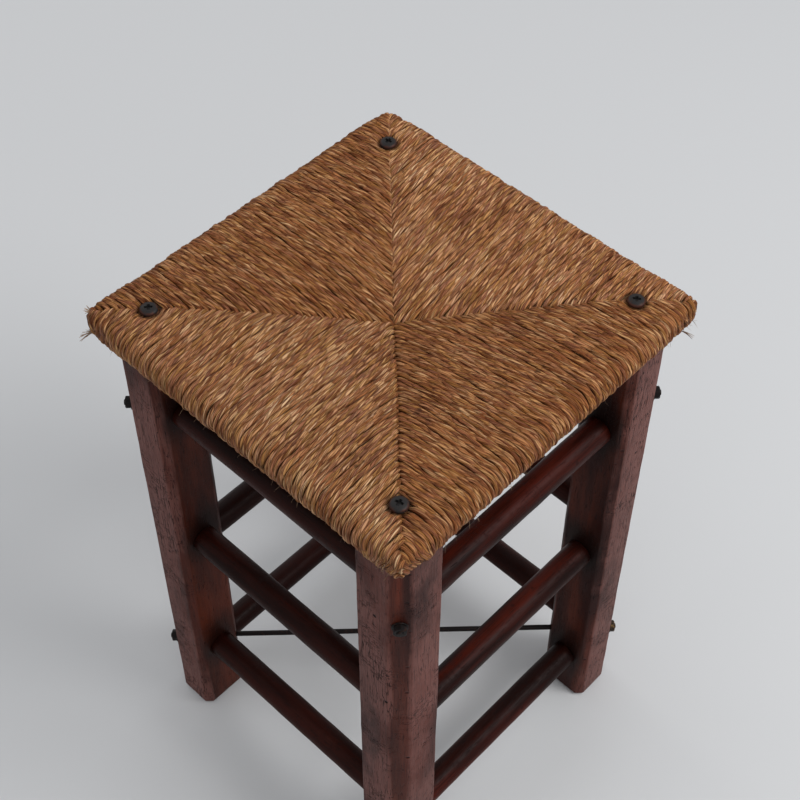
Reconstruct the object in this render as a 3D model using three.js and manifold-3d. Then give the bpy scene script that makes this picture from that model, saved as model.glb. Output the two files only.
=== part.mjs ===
// A tall square stool with a rush seat: four stout legs, three tiers of turned rungs,
// iron tie rods on the diagonals and a woven seat that is screwed down on the legs.
// Millimetres, +Z up, origin on the floor under the middle of the seat, front at -Y.
import * as THREE from 'three';
import { mergeVertices } from 'three/addons/utils/BufferGeometryUtils.js';
import Module from 'manifold-3d';

const wasm = await Module();
wasm.setup();

// Fits shared by all pieces
const clearance = 0.3;
const overrun = 20;

// Legs
const legSide = 50;
const outerChamfer = 14;
const sideChamfer = 6;
const innerChamfer = 6;
const footBevel = 3;

// Rungs and their round tenons
const rungDiameter = 25;
const tenonDiameter = 14;
const tenonLength = 16;
const lowRungHeight = 62;
const sideRungRise = 33;
const topRungDrop = 75;
const rungSides = 12;

// Tie rods with their washers and nuts
const rodDiameter = 5;
const rodCrossingGap = 0.8;
const upperRodDrop = 8.5;
const lowerRodDrop = 15;
const rodEnd = 1.2;
const smallSides = 10;
const washerDiameter = 13;
const washerThickness = 1;
const nutAcrossFlats = 10;
const nutHeight = 4.5;

// Woven seat
const seatSide = 341;
const seatOverhang = 13.5;
const seatHeight = 554;
const rollRadius = 14;
const seatDip = 21.5;
const dipPower = 1.25;
const cordDiameter = 4;
const cordPitch = 3.85;
const cordGroove = 1;
const mitreGroove = 1.2;
const centreGap = 1;

// Rails and stuffing inside the weave
const railBeyondScrew = 12;
const stuffingInset = 14;

// Screws that hold the seat down
const screwHeadDiameter = 15;
const screwHeadHeight = 3.8;
const screwSink = 2;
const screwShank = 5;
const screwInLeg = 32;
const screwPoint = 6;
const recessLength = 7;
const recessWidth = 1.4;
const recessDepth = 2;

// Places that follow from the sizes above
const legHalfSpread = seatSide / 2 - seatOverhang;
const legAxis = legHalfSpread - legSide / 2;
const legInner = legHalfSpread - legSide;
const seatHalf = seatSide / 2;
const seatMiddle = seatHeight - rollRadius;
const seatBottom = seatMiddle - rollRadius;
const legHeight = seatBottom - clearance;
const railInner = legAxis - railBeyondScrew;
const screwHeadSeat = seatHeight - screwSink + clearance;
const chamferPlane = (2 * legHalfSpread - outerChamfer) / Math.SQRT2;

// The tiers are evenly spaced, and the side rungs sit higher than the front and back ones,
// so that the tenons of neighbouring sides pass each other inside the leg.
const topSideRung = legHeight - topRungDrop;
const lowSideRung = lowRungHeight + sideRungRise;
const sideTiers = [lowSideRung, (lowSideRung + topSideRung) / 2, topSideRung];
const frontTiers = sideTiers.map((height) => height - sideRungRise);
const tierNames = ['lower', 'middle', 'upper'];

// The two rods of a level cross at the middle of the stool, one just above the other.
const rodStagger = rodDiameter + rodCrossingGap;
const rodHeights = { upper: topSideRung - upperRodDrop, lower: lowSideRung - lowerRodDrop };

const stainedWood = new THREE.MeshStandardMaterial({ color: 0x4b2c29, roughness: 0.5, metalness: 0 });
const darkRung = new THREE.MeshStandardMaterial({ color: 0x2f1512, roughness: 0.4, metalness: 0 });
const bareWood = new THREE.MeshStandardMaterial({ color: 0xb08a5c, roughness: 0.8, metalness: 0 });
const blackIron = new THREE.MeshStandardMaterial({ color: 0x26272a, roughness: 0.5, metalness: 0.8 });
const rush = new THREE.MeshStandardMaterial({ color: 0xa67c4c, roughness: 0.8, metalness: 0 });
const straw = new THREE.MeshStandardMaterial({ color: 0xbb9c62, roughness: 0.95, metalness: 0 });

// Turns a closed three.js geometry into a solid that can be cut and joined.
function toSolid(geometry) {
  const bare = new THREE.BufferGeometry();
  bare.setAttribute('position', geometry.getAttribute('position').clone());
  if (geometry.index) bare.setIndex(geometry.index.clone());
  const merged = mergeVertices(bare, clearance / 1000);
  const corners = merged.index.array;
  const kept = [];
  for (let i = 0; i < corners.length; i += 3) {
    const [a, b, c] = [corners[i], corners[i + 1], corners[i + 2]];
    if (a !== b && b !== c && c !== a) kept.push(a, b, c);
  }
  return new wasm.Manifold(new wasm.Mesh({
    numProp: 3,
    vertProperties: Float32Array.from(merged.getAttribute('position').array),
    triVerts: Uint32Array.from(kept),
  }));
}

function toGeometry(solid) {
  const mesh = solid.getMesh();
  const geometry = new THREE.BufferGeometry();
  geometry.setAttribute('position', new THREE.BufferAttribute(Float32Array.from(mesh.vertProperties), 3));
  geometry.setIndex(new THREE.BufferAttribute(Uint32Array.from(mesh.triVerts), 1));
  geometry.computeVertexNormals();
  return geometry;
}

// A block between two corners
function block(low, high) {
  const size = high.map((value, i) => value - low[i]);
  const geometry = new THREE.BoxGeometry(...size);
  return toSolid(geometry.translate(...low.map((value, i) => value + size[i] / 2)));
}

// A body turned about the Z axis; the profile is a list of [radius, height] from bottom to top.
function turned(profile, sides) {
  const points = profile.map(([radius, height]) => new THREE.Vector2(radius, height));
  return toSolid(new THREE.LatheGeometry(points, sides).rotateX(Math.PI / 2));
}

function pin(diameter, bottom, top, sides) {
  return turned([[0, bottom], [diameter / 2, bottom], [diameter / 2, top], [0, top]], sides);
}

function named(name, geometry, material) {
  const mesh = new THREE.Mesh(geometry, material);
  mesh.name = name;
  return mesh;
}

// The corners of the stool: which way X and Y run from the middle, and the compass turn
// that brings the +X axis on to that diagonal.
const corners = [
  { name: 'front_left', x: -1, y: -1 },
  { name: 'front_right', x: 1, y: -1 },
  { name: 'back_right', x: 1, y: 1 },
  { name: 'back_left', x: -1, y: 1 },
].map((corner) => ({ ...corner, turn: Math.atan2(corner.y, corner.x) }));

// Legs. One is drawn for the +X +Y corner, with its outer corner cut wide to seat the
// washers, and the others are the same leg turned by quarter turns about the middle.
function legOutline() {
  const low = legInner;
  const high = legHalfSpread;
  const outline = new THREE.Shape();
  outline.moveTo(low + innerChamfer, low);
  outline.lineTo(high - sideChamfer, low);
  outline.lineTo(high, low + sideChamfer);
  outline.lineTo(high, high - outerChamfer);
  outline.lineTo(high - outerChamfer, high);
  outline.lineTo(low + sideChamfer, high);
  outline.lineTo(low, high - sideChamfer);
  outline.lineTo(low, low + innerChamfer);
  outline.closePath();
  return outline;
}

// Sockets for one side's rungs: the tenons come in square to the face, along the Y axis.
function rungSocket(height) {
  const depth = tenonLength + clearance;
  const socket = pin(tenonDiameter + 2 * clearance, legInner - overrun, legInner + depth, rungSides);
  return socket.rotate([-90, 0, 0]).translate([legAxis, 0, height]);
}

// The bore of a tie rod runs through the leg along the diagonal.
function rodBore(height) {
  const reach = legHalfSpread * Math.SQRT2 + overrun;
  const start = legInner * Math.SQRT2 - overrun;
  const bore = pin(rodDiameter + 2 * clearance, start, reach, smallSides);
  return bore.rotate([0, 90, 0]).rotate([0, 0, 45]).translate([0, 0, height]);
}

// At the two corners on the X = Y diagonal the side rungs come in along Y and the front and
// back rungs along X, and at the other two corners the quarter turn swaps them.
function legSolid(corner) {
  const body = new THREE.ExtrudeGeometry(legOutline(), {
    depth: legHeight + overrun - footBevel,
    bevelThickness: footBevel,
    bevelSize: footBevel,
    bevelOffset: -footBevel,
    bevelSegments: 1,
  });
  let leg = toSolid(body.translate(0, 0, footBevel));
  const away = legHalfSpread + overrun;
  leg = leg.subtract(block([0, 0, legHeight], [away, away, legHeight + 2 * overrun + footBevel]));

  const onFirstDiagonal = corner.x === corner.y;
  const alongY = onFirstDiagonal ? sideTiers : frontTiers;
  const alongX = onFirstDiagonal ? frontTiers : sideTiers;
  for (const height of alongY) leg = leg.subtract(rungSocket(height));
  for (const height of alongX) leg = leg.subtract(rungSocket(height).mirror([1, -1, 0]));

  for (const level of Object.values(rodHeights)) {
    leg = leg.subtract(rodBore(onFirstDiagonal ? level - rodStagger : level));
  }
  const pilotDepth = screwInLeg + clearance;
  const pilot = pin(screwShank + 2 * clearance, legHeight - pilotDepth, legHeight + overrun, smallSides);
  return leg.subtract(pilot.translate([legAxis, legAxis, 0]));
}

function makeLegs() {
  return corners.map((corner) => {
    const leg = named(`leg_${corner.name}`, toGeometry(legSolid(corner)), stainedWood);
    leg.rotation.z = corner.turn - Math.PI / 4;
    return leg;
  });
}

// Rungs: plain turned bars with a shoulder that closes against the leg
function rungGeometry() {
  const shoulder = legInner - clearance;
  const end = shoulder + tenonLength;
  return toGeometry(turned([
    [0, -end],
    [tenonDiameter / 2, -end],
    [tenonDiameter / 2, -shoulder],
    [rungDiameter / 2, -shoulder],
    [rungDiameter / 2, shoulder],
    [tenonDiameter / 2, shoulder],
    [tenonDiameter / 2, end],
    [0, end],
  ], rungSides));
}

function makeRungs() {
  const geometry = rungGeometry();
  const sides = [
    { name: 'front', x: 0, y: -legAxis, tiers: frontTiers, alongX: true },
    { name: 'back', x: 0, y: legAxis, tiers: frontTiers, alongX: true },
    { name: 'left', x: -legAxis, y: 0, tiers: sideTiers, alongX: false },
    { name: 'right', x: legAxis, y: 0, tiers: sideTiers, alongX: false },
  ];
  return sides.flatMap((side) => side.tiers.map((height, tier) => {
    const rung = named(`rung_${side.name}_${tierNames[tier]}`, geometry, darkRung);
    if (side.alongX) rung.rotation.y = Math.PI / 2;
    else rung.rotation.x = Math.PI / 2;
    rung.position.set(side.x, side.y, height);
    return rung;
  }));
}

// Tie rods: each pair of opposite legs is drawn together by a rod with a nut at both ends.
const washerFace = chamferPlane + clearance;
const nutFace = washerFace + washerThickness + clearance;
const rodHalfLength = nutFace + nutHeight + rodEnd;

function washerGeometry() {
  const inside = rodDiameter / 2 + clearance;
  const outside = washerDiameter / 2;
  return toGeometry(turned([
    [inside, 0],
    [outside, 0],
    [outside, washerThickness],
    [inside, washerThickness],
    [inside, 0],
  ], smallSides));
}

function nutGeometry() {
  const acrossCorners = nutAcrossFlats / Math.cos(Math.PI / 6);
  const bore = pin(rodDiameter + 2 * clearance, -overrun, nutHeight + overrun, smallSides);
  return toGeometry(pin(acrossCorners, 0, nutHeight, 6).subtract(bore));
}

// A group whose +Z axis points outwards along a corner's diagonal at a given height
function onDiagonal(corner, height, distance, mesh) {
  mesh.rotation.y = Math.PI / 2;
  mesh.position.x = distance;
  const group = new THREE.Group();
  group.rotation.z = corner.turn;
  group.position.z = height;
  group.add(mesh);
  return group;
}

function makeTieRods() {
  const rod = toGeometry(pin(rodDiameter, -rodHalfLength, rodHalfLength, smallSides));
  const washer = washerGeometry();
  const nut = nutGeometry();
  const pieces = [];
  for (const [level, height] of Object.entries(rodHeights)) {
    for (const corner of corners) {
      const own = corner.x === corner.y ? height - rodStagger : height;
      const place = `${level}_${corner.name}`;
      pieces.push(onDiagonal(corner, own, washerFace, named(`washer_${place}`, washer, blackIron)));
      pieces.push(onDiagonal(corner, own, nutFace, named(`nut_${place}`, nut, blackIron)));
      if (corner.x > 0) {
        const opposite = corner.y > 0 ? 'front_left' : 'back_left';
        const name = `tie_rod_${level}_${opposite}_to_${corner.name}`;
        pieces.push(onDiagonal(corner, own, 0, named(name, rod, blackIron)));
      }
    }
  }
  return pieces;
}

// The cords lie flat over the rails and run straight from there to the diagonals, which
// sag towards the middle of the seat, on top and, less deep, underneath.
const dips = {
  top: { depth: seatDip, flatFrom: railInner },
  bottom: { depth: seatDip + 2 * cordDiameter + centreGap - 2 * rollRadius, flatFrom: legInner },
};

function dipAt(dip, distance) {
  const share = Math.max(0, 1 - distance / dip.flatFrom);
  return dip.depth * share ** dipPower;
}

// A row of points is one line square to the seat's edge: over the top from the diagonal to
// the rail and the edge, round the rolled edge, and underneath back to the diagonal. Each
// point has the flat distance that it starts from and how far it has gone round the roll.
const edgeStart = seatHalf - rollRadius;
const rollShares = [0.2, 0.5, 0.75, 1];

function rowStations(aside) {
  const start = Math.min(aside, edgeStart);
  return [
    { flat: start, angle: 0, mitred: true },
    { flat: Math.max(start, railInner), angle: 0, mitred: aside >= railInner },
    ...rollShares.map((share) => ({ flat: edgeStart, angle: Math.PI * share, mitred: false })),
    { flat: start, angle: Math.PI, mitred: true },
  ];
}

// A few lines are enough where no cords show.
const plainLineShares = [0.5, 1];

function plainLines(radius) {
  const outwards = plainLineShares.map((share) => share * edgeStart);
  for (const share of rollShares) {
    if (share <= 0.5) outwards.push(edgeStart + radius * Math.sin(Math.PI * share));
  }
  return [...outwards.map((line) => -line).reverse(), 0, ...outwards];
}

function nearest(line, choices) {
  return choices.reduce((best, choice) => (Math.abs(choice - line) < Math.abs(best - line) ? choice : best));
}

// One closed body of four quarters that meet on the diagonals. inset shrinks it, so the same
// rows make the weave, the hollow in it and what fills the hollow. Near the corners of the
// seat a row meets the diagonal part way round the roll. sinkAt(line) and mitreSink take
// points below the surface along a line and on the diagonal. The underside is plain, so a
// row ends there where the nearest plain line meets the diagonal.
function quarteredBody({ inset, lines, sinkAt, mitreSink }) {
  const radius = rollRadius - inset;
  const up = new THREE.Vector3(0, 0, 1);
  const plain = plainLines(radius);

  function place(row, station, turn) {
    const gathered = station.angle === Math.PI && station.mitred && Math.abs(row) < edgeStart;
    const line = gathered ? nearest(row, plain) : row;
    const aside = Math.abs(line);
    const cornerAngle = Math.asin(Math.min(1, Math.max(0, (aside - edgeStart) / radius)));
    const angle = Math.min(Math.max(station.angle, cornerAngle), Math.PI - cornerAngle);
    const mitred = station.mitred || (cornerAngle > 0 && angle !== station.angle);
    const dip = angle < Math.PI / 2 ? dips.top : dips.bottom;
    const sink = (gathered ? 0 : sinkAt(line)) + (mitred ? mitreSink : 0);
    const flat = gathered ? Math.min(aside, edgeStart) : station.flat;
    const away = flat + (radius - sink) * Math.sin(angle);
    const height = seatMiddle + (radius - sink) * Math.cos(angle) - dipAt(dip, away);
    const across = mitred ? Math.sign(line) * away : line;
    return new THREE.Vector3(away, across, height).applyAxisAngle(up, turn);
  }

  const positions = [];
  for (const quarter of [0, 1, 2, 3]) {
    const turn = quarter * Math.PI / 2;
    const rows = lines(radius).map((line) => rowStations(Math.abs(line))
      .map((station) => place(line, station, turn)));
    for (let row = 0; row + 1 < rows.length; row += 1) {
      for (let step = 0; step + 1 < rows[row].length; step += 1) {
        const a = rows[row][step];
        const b = rows[row][step + 1];
        const c = rows[row + 1][step + 1];
        const d = rows[row + 1][step];
        for (const point of [a, b, c, a, c, d]) positions.push(point.x, point.y, point.z);
      }
    }
  }
  const geometry = new THREE.BufferGeometry();
  geometry.setAttribute('position', new THREE.Float32BufferAttribute(positions, 3));
  return toSolid(geometry);
}

// Two lines for each cord: one in the groove beside it, one along its crest
const cordsPerHalf = Math.round(seatHalf / cordPitch);

function cordLines() {
  const spacing = seatHalf / cordsPerHalf / 2;
  const lines = [];
  for (let step = -2 * cordsPerHalf; step <= 2 * cordsPerHalf; step += 1) lines.push(step * spacing);
  return lines;
}

function cordSinkAt(line) {
  const step = Math.round(Math.abs(line) / seatHalf * cordsPerHalf * 2);
  return step % 2 === 0 ? cordGroove : 0;
}

function plainBody(inset) {
  return quarteredBody({ inset, lines: plainLines, sinkAt: () => 0, mitreSink: 0 });
}

// Screws: a point, a plain shank and a low domed head with a cross recess
const headRimShare = 0.35;
const domeSteps = 2;

function screwSolid() {
  const radius = screwHeadDiameter / 2;
  const shank = screwShank / 2;
  const tip = legHeight - screwInLeg;
  const rim = headRimShare * screwHeadHeight;
  const profile = [[0, tip], [shank, tip + screwPoint], [shank, screwHeadSeat], [radius, screwHeadSeat]];
  for (let step = 0; step < domeSteps; step += 1) {
    const angle = Math.PI / 2 * step / domeSteps;
    const rise = rim + (screwHeadHeight - rim) * Math.sin(angle);
    profile.push([radius * Math.cos(angle), screwHeadSeat + rise]);
  }
  profile.push([0, screwHeadSeat + screwHeadHeight]);

  const top = screwHeadSeat + screwHeadHeight;
  const slot = block(
    [-recessLength / 2, -recessWidth / 2, top - recessDepth],
    [recessLength / 2, recessWidth / 2, top + overrun],
  );
  return turned(profile, smallSides).subtract(slot).subtract(slot.rotate([0, 0, 90]));
}

function atScrews(solid) {
  return corners.map((corner) => solid.translate([corner.x * legAxis, corner.y * legAxis, 0]));
}

function cutScrewHoles(solid) {
  const hole = pin(screwShank + 2 * clearance, -overrun, seatHeight + overrun, smallSides);
  return atScrews(hole).reduce((rest, cutter) => rest.subtract(cutter), solid);
}

function makeScrews() {
  const geometry = toGeometry(screwSolid());
  return corners.map((corner) => {
    const screw = named(`seat_screw_${corner.name}`, geometry, blackIron);
    screw.position.set(corner.x * legAxis, corner.y * legAxis, 0);
    return screw;
  });
}

// The weave is hollow, and the screw holes lead into the hollow.
function makeWeave() {
  const woven = quarteredBody({
    inset: 0,
    lines: cordLines,
    sinkAt: cordSinkAt,
    mitreSink: mitreGroove,
  });
  const sunk = pin(screwHeadDiameter + 2 * clearance, seatHeight - screwSink, seatHeight + overrun, smallSides);
  const hollow = woven.subtract(plainBody(cordDiameter));
  const cut = atScrews(sunk).reduce((rest, cutter) => rest.subtract(cutter), hollow);
  return named('rush_seat', toGeometry(cutScrewHoles(cut)), rush);
}

// Four rails make the frame inside the weave, half lapped at the corners where the screws
// go through. The side rails keep the upper half of each lap, front and back the lower.
function makeRails() {
  const far = seatHalf + overrun;
  const shoulder = railInner - clearance;
  const railBottom = seatBottom + cordDiameter + clearance;
  const bar = plainBody(cordDiameter + clearance)
    .intersect(block([railInner, -far, railBottom], [far, far, seatHeight]));

  function rail(lapLow, lapHigh) {
    const lap = block([shoulder, shoulder, lapLow], [far, far, lapHigh]);
    return cutScrewHoles(bar.subtract(lap).subtract(lap.mirror([0, 1, 0])));
  }
  const side = rail(seatBottom - overrun, seatMiddle + clearance / 2);
  const cross = rail(seatMiddle - clearance / 2, seatHeight + overrun);
  return [
    { name: 'right', solid: side, turn: 0 },
    { name: 'back', solid: cross, turn: Math.PI / 2 },
    { name: 'left', solid: side, turn: Math.PI },
    { name: 'front', solid: cross, turn: -Math.PI / 2 },
  ].map(({ name, solid, turn }) => {
    const mesh = named(`seat_rail_${name}`, toGeometry(solid), bareWood);
    mesh.rotation.z = turn;
    return mesh;
  });
}

// Loose straw packed between the two layers of cord, one wedge for each quarter
function makeStuffing() {
  const outer = railInner - clearance;
  const gap = clearance * Math.SQRT1_2;
  const wedge = new THREE.Shape([
    new THREE.Vector2(stuffingInset, gap - stuffingInset),
    new THREE.Vector2(outer, gap - outer),
    new THREE.Vector2(outer, outer - gap),
    new THREE.Vector2(stuffingInset, stuffingInset - gap),
  ]);
  const prism = new THREE.ExtrudeGeometry(wedge, { depth: 2 * seatHeight, bevelEnabled: false });
  const solid = plainBody(cordDiameter + clearance).intersect(toSolid(prism));
  const geometry = toGeometry(solid);
  return ['right', 'back', 'left', 'front'].map((name, quarter) => {
    const mesh = named(`stuffing_${name}`, geometry, straw);
    mesh.rotation.z = quarter * Math.PI / 2;
    return mesh;
  });
}

const stool = new THREE.Group();
stool.add(...makeLegs());
stool.add(...makeRungs());
stool.add(...makeTieRods());
stool.add(makeWeave());
stool.add(...makeRails());
stool.add(...makeStuffing());
stool.add(...makeScrews());

export default stool;
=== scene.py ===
# A tall square stool: stout dark legs, turned rungs in staggered tiers, crossed iron tie
# rods and a dished seat wound from twisted rush. Metres, +Z up, standing on z = 0.
import math
import random
from functools import partial, reduce

import bmesh
import bpy
import numpy as np
from mathutils import Matrix, Vector


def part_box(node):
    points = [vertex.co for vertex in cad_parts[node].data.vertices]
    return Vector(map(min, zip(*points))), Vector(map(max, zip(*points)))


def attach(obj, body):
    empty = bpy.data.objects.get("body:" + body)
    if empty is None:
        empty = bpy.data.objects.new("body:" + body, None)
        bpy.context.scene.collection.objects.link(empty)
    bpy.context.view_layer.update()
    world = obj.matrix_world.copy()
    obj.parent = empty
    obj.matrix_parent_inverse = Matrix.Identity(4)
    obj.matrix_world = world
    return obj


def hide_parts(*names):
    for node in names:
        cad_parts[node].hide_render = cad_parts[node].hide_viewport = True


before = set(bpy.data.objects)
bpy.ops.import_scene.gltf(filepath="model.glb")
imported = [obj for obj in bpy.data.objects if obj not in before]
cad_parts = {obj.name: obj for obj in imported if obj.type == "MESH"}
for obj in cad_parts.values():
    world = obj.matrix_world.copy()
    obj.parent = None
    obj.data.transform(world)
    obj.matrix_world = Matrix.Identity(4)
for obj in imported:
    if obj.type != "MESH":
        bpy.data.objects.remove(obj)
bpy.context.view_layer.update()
bpy.ops.object.select_all(action="DESELECT")

# Legs
# Four posts of square stock, stained dark red-brown and varnished, now dull, scratched and
# pitted. Each has a wide flat on its outer corner, where the washers bear, and eased arrises.


def pick(kind, test):
    """Selects only those edges or faces of the mesh in edit mode that pass."""
    bpy.ops.mesh.select_mode(type=kind)
    bpy.ops.mesh.select_all(action="DESELECT")
    mesh = bmesh.from_edit_mesh(bpy.context.object.data)
    for part in mesh.edges if kind == "EDGE" else mesh.faces:
        part.select_set(test(part))
    mesh.select_flush_mode()
    bmesh.update_edit_mesh(bpy.context.object.data)


def reach(edge, axis):
    """How far an edge runs along an axis."""
    return abs(edge.verts[0].co[axis] - edge.verts[1].co[axis])


def middle(edge):
    return (edge.verts[0].co + edge.verts[1].co) / 2


def start_with(primitive, **settings):
    """Adds a primitive with nothing else selected, and puts its place into its mesh."""
    bpy.ops.object.select_all(action="DESELECT")
    primitive(**settings)
    bpy.ops.object.transform_apply(location=True, rotation=True, scale=True)
    return bpy.context.object


def select_only(piece):
    """Selects one object and makes it active, for the operators that follow."""
    bpy.ops.object.select_all(action="DESELECT")
    piece.select_set(True)
    bpy.context.view_layer.objects.active = piece


def apply_modifier(piece, kind, **settings):
    modifier = piece.modifiers.new(kind.lower(), kind)
    for name, value in settings.items():
        setattr(modifier, name, value)
    select_only(piece)
    bpy.ops.object.modifier_apply(modifier=modifier.name)


def smooth_by_angle(piece, degrees):
    """Shades a piece smooth, but for the edges that turn by more than an angle."""
    select_only(piece)
    bpy.ops.object.shade_smooth_by_angle(angle=math.radians(degrees))


def roughen(piece, depth, size):
    """Makes true surfaces slightly uneven, as worn and hand-finished wood is."""
    clouds = bpy.data.textures.new(piece.name + "_unevenness", "CLOUDS")
    clouds.noise_scale = size
    clouds.noise_depth = 2
    apply_modifier(piece, "DISPLACE", texture=clouds, strength=depth, texture_coords="LOCAL")


def new_object(name, data):
    made = bpy.data.objects.new(name, data)
    bpy.context.scene.collection.objects.link(made)
    return made


def copied(piece, name, place):
    """A copy of a piece with its own mesh, moved by a matrix."""
    copy = new_object(name, piece.data.copy())
    copy.data.transform(place)
    return copy


def settle(piece, material, slot, *nodes):
    """Gives a finished piece its finish, and ties it to the frame in place of its nodes."""
    piece.data.materials.clear()
    piece.data.materials.append(material)
    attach(piece, "root")
    if nodes:
        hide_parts(*nodes)


def centre_of(node):
    low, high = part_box(node)
    return (low + high) / 2


leg_low, leg_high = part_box("leg_back_right")
leg_axis = (leg_low.x + leg_high.x) / 2
leg_top = leg_high.z
outer_flat = 0.014
small_flat = 0.006
foot_bevel = 0.003
arris = 0.0011
tenon_radius = 0.007
rod_radius = 0.0025
shank_radius = 0.0025
fit_gap = 0.0003
tiers = ("lower", "middle", "upper")
# An edge longer than this runs the whole length of a piece.
long_edge = 0.1

leg = start_with(bpy.ops.mesh.primitive_cube_add, size=1, location=(leg_low + leg_high) / 2,
                 scale=leg_high - leg_low)
bpy.ops.object.mode_set(mode="EDIT")
pick("EDGE", lambda e: reach(e, 2) > long_edge and middle(e).x + middle(e).y > 2 * leg_high.x - arris)
bpy.ops.mesh.bevel(offset=outer_flat, segments=1, affect="EDGES")
pick("EDGE", lambda e: reach(e, 2) > long_edge and middle(e).x + middle(e).y < 2 * leg_axis + arris)
bpy.ops.mesh.bevel(offset=small_flat, segments=1, affect="EDGES")
pick("EDGE", lambda e: e.verts[0].co.z + e.verts[1].co.z < arris)
bpy.ops.mesh.bevel(offset=foot_bevel, segments=1, affect="EDGES")
pick("EDGE", lambda e: reach(e, 2) > long_edge or middle(e).z < foot_bevel + arris)
bpy.ops.mesh.bevel(offset=arris, segments=3, affect="EDGES")
pick("EDGE", lambda e: reach(e, 2) > long_edge)
bpy.ops.mesh.subdivide(number_cuts=44)
bpy.ops.object.mode_set(mode="OBJECT")

# The rungs' tenons, the rods and the screws go into holes that are bored in the legs.
bore_parts = []


def add_bore(radius, depth, place, turn=(0, 0, 0)):
    bore_parts.append(start_with(bpy.ops.mesh.primitive_cylinder_add, vertices=24, rotation=turn,
                                 radius=radius + fit_gap, depth=depth, location=place))


def lies_at(node):
    """The turn that lays a bar from Z along a rod's diagonal."""
    return 0, math.pi / 2, math.radians(45 if "front_left" in node else -45)


for side, turn in (("front", 0), ("back", 0), ("left", math.pi / 2), ("right", math.pi / 2)):
    for tier in tiers:
        node = f"rung_{side}_{tier}"
        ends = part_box(node)[1]
        add_bore(tenon_radius, 2 * (ends.y if turn else ends.x), centre_of(node), (0, math.pi / 2, turn))
past_both_legs = 0.5
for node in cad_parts:
    if node.startswith("tie_rod"):
        add_bore(rod_radius, past_both_legs, centre_of(node), lies_at(node))
    if node.startswith("seat_screw"):
        centre = centre_of(node)
        depth = leg_top + fit_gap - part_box(node)[0].z
        add_bore(shank_radius, 2 * depth, (centre.x, centre.y, leg_top))
bpy.ops.object.select_all(action="DESELECT")
for part in bore_parts:
    part.select_set(True)
bpy.context.view_layer.objects.active = bore_parts[0]
bpy.ops.object.join()
bores = bpy.context.object


def feed(node, **values):
    """Links or sets inputs of a shader node by name: i0 is the first one, and From_Min is
    From Min."""
    for name, value in values.items():
        by_number = name[0] == "i" and name[1:].isdigit()
        socket = node.inputs[int(name[1:]) if by_number else name.replace("_", " ")]
        if isinstance(value, bpy.types.NodeSocket):
            node.id_data.links.new(value, socket)
        else:
            socket.default_value = value


def add_node(tree, kind, **values):
    """Adds a shader node. The name of a property sets that, and any other name feeds an input."""
    made = tree.nodes.new(kind)
    settings = [name for name in values if name in made.bl_rna.properties]
    for name in settings:
        setattr(made, name, values.pop(name))
    feed(made, **values)
    return made


def tree_of(*values):
    """The node tree that the first socket among some values belongs to."""
    return next(value.id_data for value in values if isinstance(value, bpy.types.NodeSocket))


def maths(operation, *values, clamp=False):
    made = add_node(tree_of(*values), "ShaderNodeMath", operation=operation, use_clamp=clamp,
                    **{f"i{i}": value for i, value in enumerate(values)})
    return made.outputs[0]


plus, minus, times, larger, smaller, unsigned, above = (
    partial(maths, operation) for operation in
    ("ADD", "SUBTRACT", "MULTIPLY", "MAXIMUM", "MINIMUM", "ABSOLUTE", "GREATER_THAN"))


def distance_between(first, second):
    return add_node(tree_of(first), "ShaderNodeVectorMath", operation="DISTANCE", i0=first,
                    i1=second).outputs["Value"]


def blended(share, first, second, blend_type="MIX"):
    """Two colours mixed by a share."""
    made = add_node(tree_of(share), "ShaderNodeMix", data_type="RGBA", blend_type=blend_type,
                    i0=share, i6=first, i7=second)
    return made.outputs[2]


def ranged(value, low, high, to_low=0.0, to_high=1.0):
    """A smooth step from one range of values to another."""
    made = add_node(tree_of(value), "ShaderNodeMapRange", interpolation_type="SMOOTHSTEP",
                    Value=value, From_Min=low, From_Max=high, To_Min=to_low, To_Max=to_high)
    return made.outputs[0]


def stretched_noise(vector, scale, stretch=(1, 1, 1), detail=3.0, roughness=0.55):
    """Noise drawn out along an axis: stretch gives the scale of each axis in turn."""
    placed = add_node(tree_of(vector), "ShaderNodeMapping", Vector=vector, Scale=stretch)
    made = add_node(tree_of(vector), "ShaderNodeTexNoise", Vector=placed.outputs[0], Scale=scale,
                    Detail=detail, Roughness=roughness)
    return made.outputs[0]


def new_group(name, inputs):
    """A node group for a finish, with a colour, a roughness and a height; returns its tree,
    its inputs by name and its output node."""
    group = bpy.data.node_groups.new(name, "ShaderNodeTree")
    for socket_name, value in inputs.items():
        kind = "Vector" if value is None else "Float" if isinstance(value, float) else "Color"
        socket = group.interface.new_socket(socket_name, in_out="INPUT", socket_type="NodeSocket" + kind)
        if value is not None:
            socket.default_value = value
    for socket_name, kind in (("Color", "Color"), ("Roughness", "Float"), ("Height", "Float")):
        group.interface.new_socket(socket_name, in_out="OUTPUT", socket_type="NodeSocket" + kind)
    return group, group.nodes.new("NodeGroupInput").outputs, group.nodes.new("NodeGroupOutput")


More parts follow.
